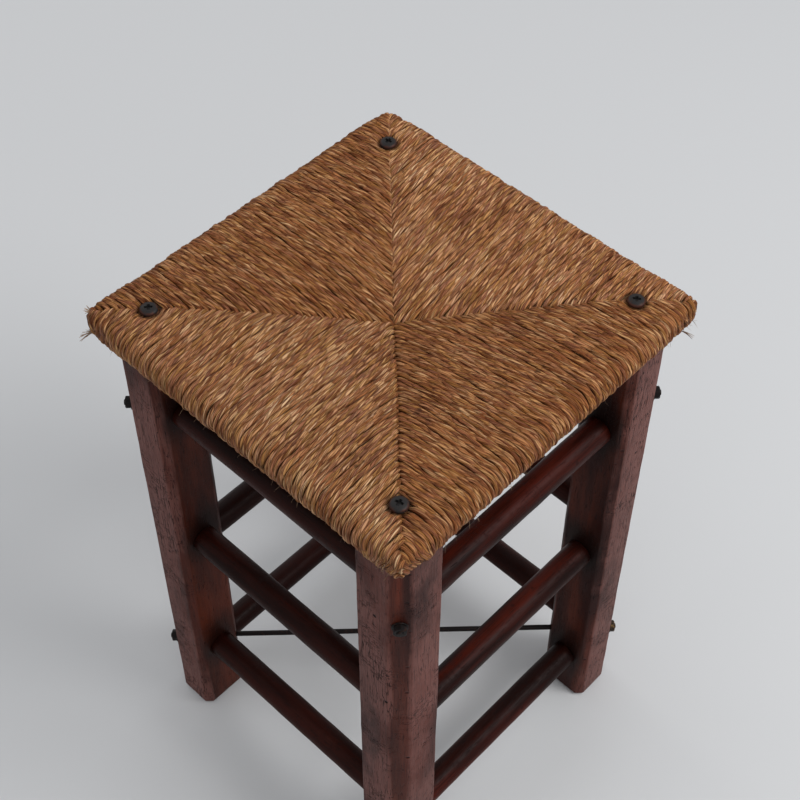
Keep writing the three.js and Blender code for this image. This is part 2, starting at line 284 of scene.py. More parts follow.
# Old varnished timber with its grain along Z: bands, fine grain, pores, pits and scratches
timber, given, result = new_group("old_timber", {
    "Vector": None, "Deep": (0.02, 0.006, 0.004, 1), "Warm": (0.08, 0.02, 0.01, 1),
    "Worn": (0.14, 0.08, 0.07, 1), "Wear": 0.3, "Pits": 0.5, "Gloss": 0.35})
place = given["Vector"]
bands = stretched_noise(place, 9.0, (4.0, 4.0, 0.45), detail=4.0)
grain = stretched_noise(place, 60.0, (14.0, 14.0, 0.5))
fine = stretched_noise(place, 120.0, (16.0, 16.0, 0.9), detail=2.0)
pores = ranged(stretched_noise(place, 95.0, (10.0, 10.0, 0.9), detail=1.0), 0.64, 0.74)
patches = stretched_noise(place, 16.0, (1.0, 1.0, 0.6), detail=5.0, roughness=0.62)
pit_cells = add_node(timber, "ShaderNodeTexVoronoi", Vector=place, Scale=85.0, Randomness=1.0)
pits = times(ranged(pit_cells.outputs["Distance"], 0.20, 0.10),
             ranged(pit_cells.outputs["Color"], 0.60, 0.78))
# Short checks run across the grain, in clusters, and longer thin ones along it.
checks = stretched_noise(place, 22.0, (3.0, 3.0, 9.0), detail=5.0, roughness=0.65)
scratches = times(ranged(unsigned(minus(checks, 0.5)), 0.020, 0.005),
                  ranged(stretched_noise(place, 26.0), 0.51, 0.60))
split_lines = stretched_noise(place, 40.0, (7.0, 7.0, 0.55), detail=2.0)
splits = times(ranged(unsigned(minus(split_lines, 0.5)), 0.020, 0.004),
               ranged(patches, 0.46, 0.60, 0.2, 0.95))
ragged = ranged(plus(given["Wear"], times(minus(patches, 0.5), 1.2)), 0.30, 0.62)
colour = blended(ranged(bands, 0.38, 0.62), given["Deep"], given["Warm"])
colour = blended(times(ragged, 0.75), colour, given["Worn"])
colour = blended(times(ranged(grain, 0.50, 0.70), 0.55), colour, given["Deep"])
marks = times(larger(pits, larger(scratches, splits)), given["Pits"])
marks = larger(times(pores, 0.70), marks, clamp=True)
relief = plus(times(grain, -0.5), times(fine, 0.25))
feed(result, Color=blended(marks, colour, (0.006, 0.003, 0.003, 1)),
     Roughness=plus(plus(given["Gloss"], times(fine, 0.22)), times(marks, 0.25), clamp=True),
     Height=minus(relief, times(marks, 1.6)))


def new_material(name):
    """A material with an empty Principled BSDF; returns it, its tree and the shader."""
    material = bpy.data.materials.new(name)
    material.use_nodes = True
    return material, material.node_tree, material.node_tree.nodes["Principled BSDF"]


def finish_with(shader, group_node, bump_strength, bump_distance):
    """Feeds a group's colour, roughness and relief to the shader."""
    bump = add_node(shader.id_data, "ShaderNodeBump", Strength=bump_strength,
                    Distance=bump_distance, Height=group_node.outputs["Height"])
    feed(shader, Base_Color=group_node.outputs["Color"], Roughness=group_node.outputs["Roughness"],
         Normal=bump.outputs[0])


def placed_by_object(tree, turn=(0, 0, 0)):
    """Object coordinates, turned so that the grain runs along Z."""
    coordinates = add_node(tree, "ShaderNodeTexCoord")
    turned = add_node(tree, "ShaderNodeMapping", Vector=coordinates.outputs["Object"], Rotation=turn)
    return turned.outputs[0]


leg_wood, tree, shader = new_material("leg_wood")
grain_place = placed_by_object(tree)
# The same leg is seen from each corner when X and Y lose their signs, so the arrises are
# found from the distance to their lines in that one leg.
split = add_node(tree, "ShaderNodeSeparateXYZ", Vector=grain_place)
height = split.outputs[2]
from_axis = [minus(unsigned(split.outputs[i]), leg_axis) for i in (0, 1)]
wide = larger(*from_axis)
narrow = smaller(*from_axis)
section = add_node(tree, "ShaderNodeCombineXYZ", X=wide, Y=narrow).outputs[0]
half_leg = (leg_high.x - leg_low.x) / 2
small_edge = half_leg - small_flat
distances = [distance_between(section, (across, along, 0)) for across, along in (
    (half_leg, half_leg - outer_flat), (half_leg, -small_edge), (small_edge, -half_leg),
    (-small_edge, -half_leg))]
arris_wear = ranged(reduce(smaller, distances), 0.0040, 0.0005, 0.0, 0.36)
# The outer faces have been knocked, pitted and rubbed pale, a little less towards the top, near
# the seat, where they are darker, and the inner ones are still smooth. The flats between them come half way.
by_steps = plus(ranged(wide, small_edge - 0.0003, small_edge + 0.0007, 0.0, 0.6),
                ranged(wide, half_leg - 0.0012, half_leg - 0.0002, 0.0, 0.4))
on_wide_flat = ranged(narrow, 0.0095, 0.0112)
outer = add_node(tree, "ShaderNodeMix", data_type="FLOAT", i0=on_wide_flat, i2=by_steps,
                 i3=ranged(wide, half_leg - 0.004, half_leg, 0.43, 1.0)).outputs[0]
top_darker_from, top_darkest_at = 0.42, 0.53
outer_wear = times(ranged(outer, 0.0, 1.0, 0.04, 0.54),
                   ranged(height, top_darker_from, top_darkest_at, 1.0, 0.80))
# The varnish is rubbed redder down the middle of the outer flat above each upper nut.
nut_top, streak_full = 0.452, 0.475
ridge = unsigned(minus(*from_axis))
rubbed = times(times(ranged(ridge, 0.0060, 0.0010), ranged(narrow, 0.004, 0.010)),
               ranged(height, nut_top, streak_full, 0.0, 0.5))
warm = blended(outer, (0.090, 0.0180, 0.0080, 1), (0.092, 0.0205, 0.0125, 1))
wood = add_node(tree, "ShaderNodeGroup", node_tree=timber, Vector=grain_place, Gloss=0.36,
                Wear=larger(arris_wear, outer_wear), Pits=ranged(outer, 0.0, 1.0, 0.22, 1.0),
                Deep=(0.026, 0.0052, 0.0034, 1), Warm=blended(rubbed, warm, (0.200, 0.0330, 0.0120, 1)),
                Worn=(0.192, 0.0770, 0.0630, 1))
finish_with(shader, wood, 0.55, 0.0006)
# The inner faces are darker round the rungs, and a little more above them.
halo_wobble = times(stretched_noise(grain_place, 30.0), 0.022)
height_share = 0.70
halo_rise = 0.007
halos = []
for side, crossed, entered in (("back", 1, 0), ("right", 0, 1)):
    on_face = ranged(from_axis[entered], 0.004 - half_leg, 0.001 - half_leg)
    flat_place = add_node(tree, "ShaderNodeCombineXYZ", X=from_axis[crossed],
                          Y=times(height, height_share)).outputs[0]
    for tier in tiers:
        centre = centre_of(f"rung_{side}_{tier}")
        rung_place = (centre[crossed] - leg_axis, height_share * (centre.z + halo_rise), 0)
        halo = ranged(plus(distance_between(flat_place, rung_place), halo_wobble), 0.050, 0.022, 0.0, 0.88)
        halos.append(times(halo, on_face))
darker_round_rungs = reduce(larger, halos)
feed(shader, Base_Color=blended(darker_round_rungs, wood.outputs["Color"], (0.0060, 0.0016, 0.0010, 1)),
     Specular_IOR_Level=0.09)

for corner, turn in (("back_right", 0), ("back_left", 90), ("front_left", 180), ("front_right", 270)):
    post = copied(leg, f"post_{corner}", Matrix.Rotation(math.radians(turn), 4, "Z"))
    roughen(post, depth=0.0009, size=0.05)
    roughen(post, depth=0.0004, size=0.012)
    apply_modifier(post, "BOOLEAN", object=bores, operation="DIFFERENCE", solver="EXACT")
    for vertex in post.data.vertices:
        vertex.co.z = max(vertex.co.z, 0.0)
    smooth_by_angle(post, 35)
    settle(post, leg_wood, "leg_wood", f"leg_{corner}")
bpy.data.objects.remove(leg)
bpy.data.objects.remove(bores)

# Rungs
# Twelve turned bars with round tenons, in three tiers on each side. The varnish is almost
# black, worn red-brown along the top where feet have rested.
rung_low, rung_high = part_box("rung_front_lower")
rung_radius = (rung_high.y - rung_low.y) / 2
shoulder = leg_low.x - fit_gap
shoulder_round = 0.0009
tenon_bevel = 0.001
hair = 0.0001

rung = start_with(bpy.ops.mesh.primitive_cylinder_add, vertices=36, radius=rung_radius,
                  depth=2 * shoulder, rotation=(0, math.pi / 2, 0))
bpy.ops.object.mode_set(mode="EDIT")
for way in (-1, 1):
    pick("FACE", lambda f: f.normal.x * way > 0.9)
    bpy.ops.mesh.inset(thickness=rung_radius - tenon_radius)
    bpy.ops.mesh.extrude_region_move(
        TRANSFORM_OT_translate={"value": (way * (rung_high.x - shoulder), 0, 0)})
pick("EDGE", lambda e: abs(abs(middle(e).x) - shoulder) < hair and middle(e).yz.length > 1.5 * tenon_radius)
bpy.ops.mesh.bevel(offset=shoulder_round, segments=2, affect="EDGES")
pick("EDGE", lambda e: abs(abs(middle(e).x) - rung_high.x) < hair)
bpy.ops.mesh.bevel(offset=tenon_bevel, segments=1, affect="EDGES")
pick("EDGE", lambda e: reach(e, 0) > long_edge)
bpy.ops.mesh.subdivide(number_cuts=36)
bpy.ops.object.mode_set(mode="OBJECT")

# Painted light and shade: the front rungs are painted redder, and the back ones darkest.
grain_across = (0, math.pi / 2, 0)
grain_along = (math.pi / 2, 0, 0)
lit_and_shaded_rung_woods = {}
for run, turn, warm in (("front", grain_across, (0.062, 0.0088, 0.0044, 1)),
                        ("back", grain_across, (0.022, 0.0044, 0.0028, 1)),
                        ("sides", grain_along, (0.032, 0.0054, 0.0029, 1))):
    lit_and_shaded_rung_woods[run], tree, shader = new_material(f"rung_wood_{run}")
    facing = add_node(tree, "ShaderNodeSeparateXYZ",
                      Vector=add_node(tree, "ShaderNodeNewGeometry").outputs["Normal"])
    wood = add_node(tree, "ShaderNodeGroup", node_tree=timber, Vector=placed_by_object(tree, turn),
                    Wear=ranged(facing.outputs[2], 0.35, 0.95, 0.0, 0.22), Pits=0.45, Gloss=0.30,
                    Deep=(0.010, 0.0018, 0.0010, 1), Warm=warm, Worn=(0.100, 0.0270, 0.0155, 1))
    finish_with(shader, wood, 0.4, 0.0004)
    feed(shader, Specular_IOR_Level=0.08)

for side in ("front", "back", "left", "right"):
    for tier in tiers:
        node = f"rung_{side}_{tier}"
        run = side if side in ("front", "back") else "sides"
        turn = Matrix.Rotation(math.pi / 2 if run == "sides" else 0, 4, "Z")
        bar = copied(rung, f"bar_{side}_{tier}", Matrix.Translation(centre_of(node)) @ turn)
        roughen(bar, depth=0.0007, size=0.03)
        smooth_by_angle(bar, 35)
        settle(bar, lit_and_shaded_rung_woods[run], "rung_wood", node)
bpy.data.objects.remove(rung)

# Tie rods, washers and nuts
# Blackened iron rods on the diagonals, drawn up with a washer and a hexagon nut at each end.
# The nuts are dull, with brown rust coming through, most on the low one at the front right.
iron_look, given, result = new_group("dull_iron", {
    "Vector": None, "Black": (0.012, 0.012, 0.014, 1), "Rust": (0.09, 0.035, 0.015, 1), "Rusted": 0.2})
spots = stretched_noise(given["Vector"], 420.0, detail=4.0, roughness=0.65)
speckle = stretched_noise(given["Vector"], 1400.0, detail=2.0)
rust = ranged(plus(spots, given["Rusted"]), 0.62, 0.80)
feed(result, Color=blended(rust, given["Black"], given["Rust"]),
     Roughness=plus(times(speckle, 0.25), times(rust, 0.3), clamp=True), Height=plus(speckle, spots))


def iron_material(name, black, rust_colour, rusted, metallic):
    material, tree, shader = new_material(name)
    look = add_node(tree, "ShaderNodeGroup", node_tree=iron_look, Vector=placed_by_object(tree),
                    Black=black, Rust=rust_colour, Rusted=rusted)
    finish_with(shader, look, 0.3, 0.0002)
    feed(shader, Roughness=plus(look.outputs["Roughness"], 0.38, clamp=True), Metallic=metallic,
         Specular_IOR_Level=0.16)
    return material


black_iron = iron_material("black_iron", (0.0060, 0.0040, 0.0038, 1), (0.030, 0.012, 0.008, 1), 0.10, 0.0)
rusted_iron = iron_material("rusted_iron", (0.022, 0.014, 0.010, 1), (0.21, 0.125, 0.048, 1), 0.14, 0.0)

rod_end_bevel = 0.0005
for node in sorted(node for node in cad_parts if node.startswith("tie_rod")):
    low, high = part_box(node)
    length = math.hypot(high.x - low.x, high.y - low.y) - 2 * rod_radius
    bpy.ops.object.select_all(action="DESELECT")
    bpy.ops.mesh.primitive_cylinder_add(vertices=20, radius=rod_radius, depth=length,
                                        location=centre_of(node), rotation=lies_at(node))
    rod = bpy.context.object
    rod.name = node.replace("tie_rod", "iron_rod")
    bpy.ops.object.mode_set(mode="EDIT")
    pick("EDGE", lambda e: reach(e, 2) < hair and abs(middle(e).z) > hair)
    bpy.ops.mesh.bevel(offset=rod_end_bevel, segments=2, affect="EDGES")
    bpy.ops.object.mode_set(mode="OBJECT")
    bpy.ops.object.transform_apply(location=True, rotation=True, scale=True)
    smooth_by_angle(rod, 35)
    settle(rod, black_iron, "black_iron", node)

# A washer and a nut are drawn about the Z axis with their inner faces on z = 0.
washer_radius = 0.0065
washer_thickness = 0.001
washer_round = 0.00025
washer = start_with(bpy.ops.mesh.primitive_cylinder_add, vertices=40, radius=washer_radius,
                    depth=washer_thickness, location=(0, 0, washer_thickness / 2))
bpy.ops.object.mode_set(mode="EDIT")
pick("FACE", lambda f: abs(f.normal.z) > 0.9)
bpy.ops.mesh.inset(thickness=washer_radius - rod_radius - fit_gap)
bpy.ops.mesh.bridge_edge_loops()
pick("EDGE", lambda e: middle(e).xy.length > washer_radius - 2 * washer_round and reach(e, 2) < hair)
bpy.ops.mesh.bevel(offset=washer_round, segments=2, affect="EDGES")
bpy.ops.object.mode_set(mode="OBJECT")

nut_flats = 0.010
nut_height = 0.0045
nut_arris = 0.0004
nut_bore = 0.0027
crown_spread = 0.0060
crown_inset = 0.0003
nut_corner = nut_flats / 2 / math.cos(math.pi / 6)
nut = start_with(bpy.ops.mesh.primitive_cylinder_add, vertices=6, radius=nut_corner,
                 depth=nut_height, location=(0, 0, nut_height / 2))
bpy.ops.object.mode_set(mode="EDIT")
pick("EDGE", lambda e: reach(e, 2) > nut_height / 2)
bpy.ops.mesh.bevel(offset=nut_arris, segments=2, affect="EDGES")
bpy.ops.object.mode_set(mode="OBJECT")
# The outer end is turned to a low cone.
cone = start_with(bpy.ops.mesh.primitive_cone_add, vertices=48, radius1=nut_corner + crown_spread,
                  radius2=nut_flats / 2 - crown_inset, depth=nut_height, location=(0, 0, nut_height / 2))
apply_modifier(nut, "BOOLEAN", object=cone, operation="INTERSECT", solver="EXACT")
bpy.data.objects.remove(cone)
bore = start_with(bpy.ops.mesh.primitive_cylinder_add, vertices=24, radius=nut_bore, depth=4 * nut_height)
apply_modifier(nut, "BOOLEAN", object=bore, operation="DIFFERENCE", solver="EXACT")
bpy.data.objects.remove(bore)

for level in ("upper", "lower"):
    for corner, turn in (("back_right", 45), ("back_left", 135), ("front_left", 225), ("front_right", 315)):
        outward = Matrix.Rotation(math.radians(turn), 4, "Z") @ Matrix.Rotation(math.pi / 2, 4, "Y")
        for model, word, thickness in ((washer, "washer", washer_thickness), (nut, "nut", nut_height)):
            node = f"{word}_{level}_{corner}"
            # Each was tightened to another turn.
            spin = Matrix.Rotation(math.radians(17 * (turn // 45) + 40 * (level == "lower")), 4, "Z")
            place = Matrix.Translation(centre_of(node)) @ outward @ spin
            piece = copied(model, f"iron_{node}", place @ Matrix.Translation((0, 0, -thickness / 2)))
            smooth_by_angle(piece, 30)
            if node == "nut_lower_front_right":
                settle(piece, rusted_iron, "rusted_iron", node)
            else:
                settle(piece, black_iron, "black_iron", node)
bpy.data.objects.remove(washer)
bpy.data.objects.remove(nut)

# Seat rails
# Four sawn bars of pale, unfinished wood inside the rush, half lapped at the corners, where
# the seat screws hold them down on the legs. The cord is wound over them.
for run, turn, sides in (("across", grain_across, ("front", "back")),
                         ("along", grain_along, ("left", "right"))):
    bare_wood, tree, shader = new_material(f"bare_wood_{run}")
    wood = add_node(tree, "ShaderNodeGroup", node_tree=timber, Vector=placed_by_object(tree, turn),
                    Deep=(0.28, 0.15, 0.07, 1), Warm=(0.50, 0.30, 0.14, 1), Worn=(0.45, 0.32, 0.20, 1),
                    Pits=0.3, Gloss=0.62)
    finish_with(shader, wood, 0.4, 0.0005)
    for side in sides:
        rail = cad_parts[f"seat_rail_{side}"]
        rail.data.materials.clear()
        rail.data.materials.append(bare_wood)

# Stuffing
# Loose straw, packed in four wedges between the upper and the lower layer of cord, to make
# the seat firm. Each wad is the plain wedge made lumpy.
straw_grain = 0.0025
lump_size = 0.008
lump_depth = 0.0016
same_point = 0.00001
straw, tree, shader = new_material("straw")
straw_place = placed_by_object(tree)
stalks = larger(stretched_noise(straw_place, 60.0, (6.0, 0.5, 3.0)),
                stretched_noise(straw_place, 60.0, (0.5, 6.0, 3.0)))
straw_bump = add_node(tree, "ShaderNodeBump", Strength=0.8, Distance=0.001, Height=stalks)
feed(shader, Base_Color=blended(ranged(stalks, 0.45, 0.75), (0.22, 0.12, 0.045, 1), (0.62, 0.42, 0.18, 1)),
     Roughness=0.8, Normal=straw_bump.outputs[0])
for side in ("front", "right", "back", "left"):
    node = f"stuffing_{side}"
    wad = copied(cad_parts[node], f"wad_{side}", Matrix.Identity(4))
    select_only(wad)
    bpy.ops.object.mode_set(mode="EDIT")
    bpy.ops.mesh.select_all(action="SELECT")
    bpy.ops.mesh.remove_doubles(threshold=same_point)
    bpy.ops.object.mode_set(mode="OBJECT")
    apply_modifier(wad, "REMESH", mode="VOXEL", voxel_size=straw_grain)
    lumps = bpy.data.textures.new(f"straw_lumps_{side}", "CLOUDS")
    lumps.noise_scale = lump_size
    apply_modifier(wad, "DISPLACE", texture=lumps, strength=lump_depth, mid_level=1.0, texture_coords="LOCAL")
    bpy.ops.object.shade_smooth()
    settle(wad, straw, "straw", node)

# Rush seat
# One long cord of twisted rush leaves, wound over the rails and through the middle so that
# it fills four quarters, which meet in herringbone on the diagonals. Each turn runs straight
# from the diagonal to the rail, round the edge and back underneath.
draw = random.Random(20)
seat_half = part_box("rush_seat")[1].x
seat_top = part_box("rush_seat")[1].z
seat_bottom = leg_top + fit_gap
rail_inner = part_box("seat_rail_right")[0].x
roll_radius = (seat_top - seat_bottom) / 2
roll_centre = (seat_top + seat_bottom) / 2
edge = seat_half - roll_radius
roll_start = edge - 0.004
# The cord: the turns in a quarter, the way from one to the next, half of its thickness each
# way, and the length in which its leaves twist once round
cords_per_side = 86
cord_pitch = 0.00385
half_width = 0.00208
half_height = 0.0020
lay = 0.058
shortest_cord = 0.0085
# The rings of its mesh, which lie further apart underneath, where they don't show
ring_points = 10
ring_step = 0.0017
ring_step_below = 0.0034
# The dish, on top and underneath, and how far the sides swell up out of a straight slope
dip = 0.0215
dip_below = dip + 0.009 - 2 * roll_radius
dip_power = 1.25
swell_height = 0.0022
swell_width = 0.06
past_mitre = 0.005
# The ends, over the next quarter's or under them: how far past the diagonal they start, how
# deep they are tucked in, over what length, and by what share they thin
over_end = (0.0027, 0.0012, 0.0024, 0.55)
under_end = (0.0014, 0.0021, 0.0058, 0.15)
# The corners: how far the cord reaches along an edge at a plain and at a drawn in corner, and
# from where on it leans, turns in and goes squarely round the edge
corner_reach = 0.1665
blunt_reach = 0.1628
corner_gap = 0.0015
last_gap = 0.0010
least_run = 0.0012
corner_radius = 0.006
lean_away = 0.009
lean_from, lean_width = 0.130, 0.025
lean_lead = 0.010
lean_top, lean_drop = 0.009, 0.021
turn_in_from, turn_in_width = 0.120, 0.040
low_turn_in, low_from = 0.0012, 0.140
squarer_from, squarer_width, squareness = 0.105, 0.052, 0.62


def fade(value, start, width):
    """Rises smoothly from 0 at the start to 1 a width further on."""
    share = np.clip((value - start) / width, 0.0, 1.0)
    return share * share * (3 - 2 * share)


def cord_line(aside, end, reach, leans, drawn_in, wander):
    """One turn of cord, from the diagonal on top, over the edge, to the diagonal underneath:
    its middle as [away, height], how far it leans sideways, the length so far, and how deep
    it is tucked in. On the upright edge the cords near a corner lean towards it or away from
    it. The roll is round along the sides and squarer towards the corners."""
    overlap, tuck_depth, tuck_width, _ = end
    radius = roll_radius - half_height
    beside = abs(aside)
    top = np.linspace(beside - past_mitre, edge, 160)
    share = np.clip((rail_inner - top) / max(rail_inner - beside, 0.001), 0, 1.1)
    sag = dip * max(0.0, 1 - beside / rail_inner) ** dip_power
    swell = swell_height * np.sin(math.pi * np.clip(share, 0, 1)) * fade(rail_inner - beside, 0, swell_width)
    upper = np.stack([top, roll_centre + radius - sag * share + swell], axis=1)
    below = np.linspace(edge, beside - past_mitre, 80)
    sag = dip_below * max(0.0, 1 - beside / leg_low.x) ** dip_power
    lower = np.stack([below, roll_centre - radius - sag * (edge - below) / (edge - beside + 0.001)], axis=1)
    power = 1 - squareness * fade(beside, squarer_from, squarer_width)
    angles = np.linspace(0, math.pi, 180)[1:-1]
    rounded = np.sign(np.cos(angles)) * np.abs(np.cos(angles)) ** power
    roll = np.stack([edge + radius * np.sin(angles) ** power, roll_centre + radius * rounded], axis=1)
    line = np.concatenate([upper, roll, lower]) if beside < edge else roll
    lean = 0.5 * (reach - corner_gap - beside) if leans == "towards" else -lean_away
    lean = lean * fade(beside, lean_from, lean_width) * fade(line[:, 0], edge - lean_lead, lean_lead)
    lean *= fade(roll_centre + lean_top - line[:, 1], 0, lean_drop)
    # In plan the edge bends in a little towards each corner, which is rounded.
    past = np.clip(beside + lean - reach + corner_radius, 0, 0.95 * corner_radius)
    inward = (edge + radius - reach) * fade(beside + lean, turn_in_from, turn_in_width) + drawn_in
    inward += corner_radius - np.sqrt(corner_radius ** 2 - past ** 2)
    inward += low_turn_in * fade(roll_centre - line[:, 1], 0, radius) * fade(beside, low_from, lean_width)
    line[:, 0] -= inward * fade(line[:, 0], roll_start, roll_radius)
    start = np.minimum(beside + lean - overlap, line[:, 0].max() - least_run) + wander
    kept = (line[:, 0] >= start) & (beside + lean < reach - last_gap)
    line = np.concatenate([line, lean[:, None]], axis=1)[kept]
    lengths = np.linalg.norm(np.diff(line[:, :2], axis=0), axis=1)
    hidden = (line[1:, 1] < roll_centre) & (line[1:, 0] < roll_start)
    counts = np.concatenate([[0], np.cumsum(lengths / np.where(hidden, ring_step_below, ring_step))])
    at = np.linspace(0, counts[-1], max(4, int(round(counts[-1]))) + 1)
    line = np.stack([np.interp(at, counts, line[:, i]) for i in (0, 1, 2)], axis=1)
    line[1:-1] = (line[:-2] + 2 * line[1:-1] + line[2:]) / 4
    line, lean = line[:, :2], line[:, 2] * math.copysign(1, aside)
    # Both ends dive under the cords of the next quarter.
    run = np.concatenate([[0], np.cumsum(np.linalg.norm(np.diff(line, axis=0), axis=1))])
    tuck = tuck_depth * (1 - fade(np.minimum(run, run[-1] - run), 0, min(tuck_width, 0.25 * run[-1])))
    return line, lean, run, tuck


def ripple(phases, values, waves):
    """A smooth wandering value made of a few waves."""
    return sum(size * np.sin(2 * math.pi * values / length + phase)
               for (length, size), phase in zip(waves, phases))


pressed_depth = 0.0030
pressed_radius = 0.0120
pressed_slope = 0.0050
lobe_height = 0.075
squircle = 2.5


def cord_mesh(name, quarter, drawn_in, low_end, high_end):
    """All the turns of cord in one quarter, as one mesh with its own UV map. U runs along
    the cord and V round it, turning with the twist, so that streaks follow the leaves.
    Each end of the quarter is given as how its cords end, their reach and how they lean."""
    points, faces, along, around, depth = [], [], [], [], []
    total = 0
    leaves = 2 * math.pi * np.arange(ring_points) / ring_points
    for index in range(-3, cords_per_side + 3):
        aside = (index - cords_per_side / 2 + 0.75) * cord_pitch
        end, reach, leans = high_end if aside > 0 else low_end
        if abs(aside) > reach - corner_gap + (lean_away if leans == "away" else 0):
            continue
        line, lean, run, tuck = cord_line(aside, end, reach, leans, drawn_in, draw.uniform(-0.0005, 0.0004))
        if run[-1] < shortest_cord:
            continue
        count = len(line)
        phases = [draw.uniform(0, 2 * math.pi) for _ in range(9)]
        place_side = aside + ripple(phases[0:3], run, ((0.13, 0.00045), (0.037, 0.0002), (0.019, 0.00012)))
        place_side += 0.0008 * np.sin(line[:, 0] * 41 + aside * 23 + 2.1 * quarter) + lean
        lift = draw.uniform(-0.0004, 0.0003) - tuck
        lift += ripple(phases[3:5], run, ((0.07, 0.0003), (0.021, 0.0002)))
        tangent = np.gradient(line, axis=0)
        tangent /= np.linalg.norm(tangent, axis=1)[:, None]
        outward = np.stack([-tangent[:, 1], tangent[:, 0]], axis=1)
        middle_away = line[:, 0] + outward[:, 0] * lift
        middle_up = line[:, 1] + outward[:, 1] * lift
        # Screws press the cord down where they are driven in, on the axes of the legs.
        to_screw = np.hypot(np.abs(middle_away) - leg_axis, np.abs(place_side) - leg_axis)
        pressed = fade(pressed_radius - to_screw, 0, pressed_slope) * fade(middle_up, roll_centre, 0.006)
        middle_up = middle_up - pressed_depth * pressed
        twist = -2 * math.pi * run / (lay * draw.uniform(0.8, 1.3)) + phases[5]
        turned = leaves[None, :] + twist[:, None]
        squared = np.abs(np.cos(turned)) ** squircle + np.abs(np.sin(turned)) ** squircle
        squared = squared ** (-1 / squircle)
        lobes = np.repeat(1 + lobe_height * np.cos(3 * leaves)[None, :], count, axis=0)
        for leaf in range(ring_points):
            leaf_phases = [draw.uniform(0, 2 * math.pi) for _ in range(2)]
            lobes[:, leaf] += ripple(leaf_phases, run, ((0.021, 0.045), (0.0097, 0.045)))
        girth = draw.uniform(0.92, 1.06) * (1 + ripple(phases[6:8], run, ((0.047, 0.04), (0.016, 0.03))))
        from_end = np.minimum(run, run[-1] - run)
        girth *= 1 - end[3] * fade(0.0030 - from_end, 0, 0.0042)
        size = girth[:, None] * squared * lobes
        upwards = half_height * size * np.sin(turned)
        rings = np.stack([middle_away[:, None] + outward[:, 0][:, None] * upwards,
                          place_side[:, None] + half_width * size * np.cos(turned),
                          middle_up[:, None] + outward[:, 1][:, None] * upwards], axis=2)
        # Painted shade: the surface is darker deep down between neighbouring cords, where a leaf lies low
        # and where an end is tucked in.
        low_leaf = np.clip(1 - (size - size.min()) / (size.max() - size.min()), 0, 1)
        deep = np.clip(0.92 - 1.15 * np.sin(turned), 0, 1) + 0.35 * low_leaf + 28 * tuck[:, None]
        depth.append(deep.ravel())
        points.append(rings.reshape(-1, 3))
        ring = np.arange(count - 1)[:, None] * ring_points
        step = np.arange(ring_points)[None, :]
        a, b = ring + step, ring + (step + 1) % ring_points
        faces.append(np.stack([a, b, b + ring_points, a + ring_points], axis=2).reshape(-1, 4) + total)
        u = run + 0.37 * index + 31.7 * quarter
        before, after = np.repeat(u[:-1], ring_points), np.repeat(u[1:], ring_points)
        along.append(np.stack([before, before, after, after], axis=1))
        v = np.tile(np.arange(ring_points), count - 1) / ring_points
        around.append(np.stack([v, v + 1 / ring_points, v + 1 / ring_points, v], axis=1))
        total += count * ring_points
    caps = []
    first = 0
    for part in points:
        last = first + len(part) - ring_points
        caps.append([first + i for i in reversed(range(ring_points))])
        caps.append([last + i for i in range(ring_points)])
        first += len(part)
    turn = quarter * math.pi / 2
    turned_points = np.concatenate(points) @ np.array(((math.cos(turn), math.sin(turn), 0),
                                                       (-math.sin(turn), math.cos(turn), 0), (0, 0, 1)))
    mesh = bpy.data.meshes.new(name)
    quads = np.concatenate(faces)
    mesh.from_pydata(turned_points.tolist(), [], quads.tolist() + caps)
    uv = np.zeros((len(mesh.loops), 2), np.float32)
    uv[:quads.size, 0] = np.concatenate(along).ravel()
    uv[:quads.size, 1] = np.concatenate(around).ravel()
    mesh.uv_layers.new(name="strand").data.foreach_set("uv", uv.ravel())
    groove = mesh.attributes.new("groove", "FLOAT", "POINT")
    groove.data.foreach_set("value", np.concatenate(depth).astype(np.float32))
    mesh.polygons.foreach_set("use_smooth", [True] * len(mesh.polygons))
    mesh.update()
    return new_object(name, mesh)


# Dry rush: straw-coloured, brown, greyish and pink leaves side by side in each cord, with painted
# shade in the grooves, between leaves and where the ends are tucked in, with dark spots, and
# stained round the screws
rush_look, given, result = new_group("dry_rush", {"Strand": None, "Place": None, "Groove": 0.0})
strand, place = given["Strand"], given["Place"]
wander = stretched_noise(strand, 1.0, (60.0, 3.0, 1.0), detail=1.0)
bends = add_node(rush_look, "ShaderNodeCombineXYZ", X=times(wander, 1.5), Y=times(wander, 1.1))
bent = add_node(rush_look, "ShaderNodeVectorMath", operation="MULTIPLY_ADD", i0=strand,
                i1=(90.0, 9.5, 0.0), i2=bends.outputs[0]).outputs[0]
leaf_cells, leaf_edges = (
    add_node(rush_look, "ShaderNodeTexVoronoi", voronoi_dimensions="2D", feature=feature,
             Vector=bent, Scale=1.0) for feature in ("F1", "DISTANCE_TO_EDGE"))
leaf = add_node(rush_look, "ShaderNodeSeparateColor", Color=leaf_cells.outputs["Color"]).outputs
leaf_rise = ranged(leaf_edges.outputs["Distance"], 0.0, 0.22)
fibres = stretched_noise(strand, 1.0, (150.0, 26.0, 1.0), detail=4.0, roughness=0.62)
seat_tone = stretched_noise(place, 26.0, detail=2.0)
tone = plus(maths("MULTIPLY_ADD", leaf[0], 0.70, -0.11), times(fibres, 0.50))
tone = plus(tone, times(minus(seat_tone, 0.5), 0.45))
ramp = add_node(rush_look, "ShaderNodeValToRGB", Fac=tone)
ramp.color_ramp.elements[0].position = 0.12
ramp.color_ramp.elements[0].color = (0.110, 0.030, 0.0085, 1)
ramp.color_ramp.elements[1].position = 0.92
ramp.color_ramp.elements[1].color = (0.760, 0.503, 0.285, 1)
for position, colour in ((0.34, (0.290, 0.104, 0.0345, 1)), (0.56, (0.460, 0.202, 0.0820, 1)),
                         (0.74, (0.635, 0.342, 0.161, 1))):
    ramp.color_ramp.elements.new(position).color = colour
grey_leaves = ranged(leaf[1], 0.72, 0.90, 0.0, 0.38)
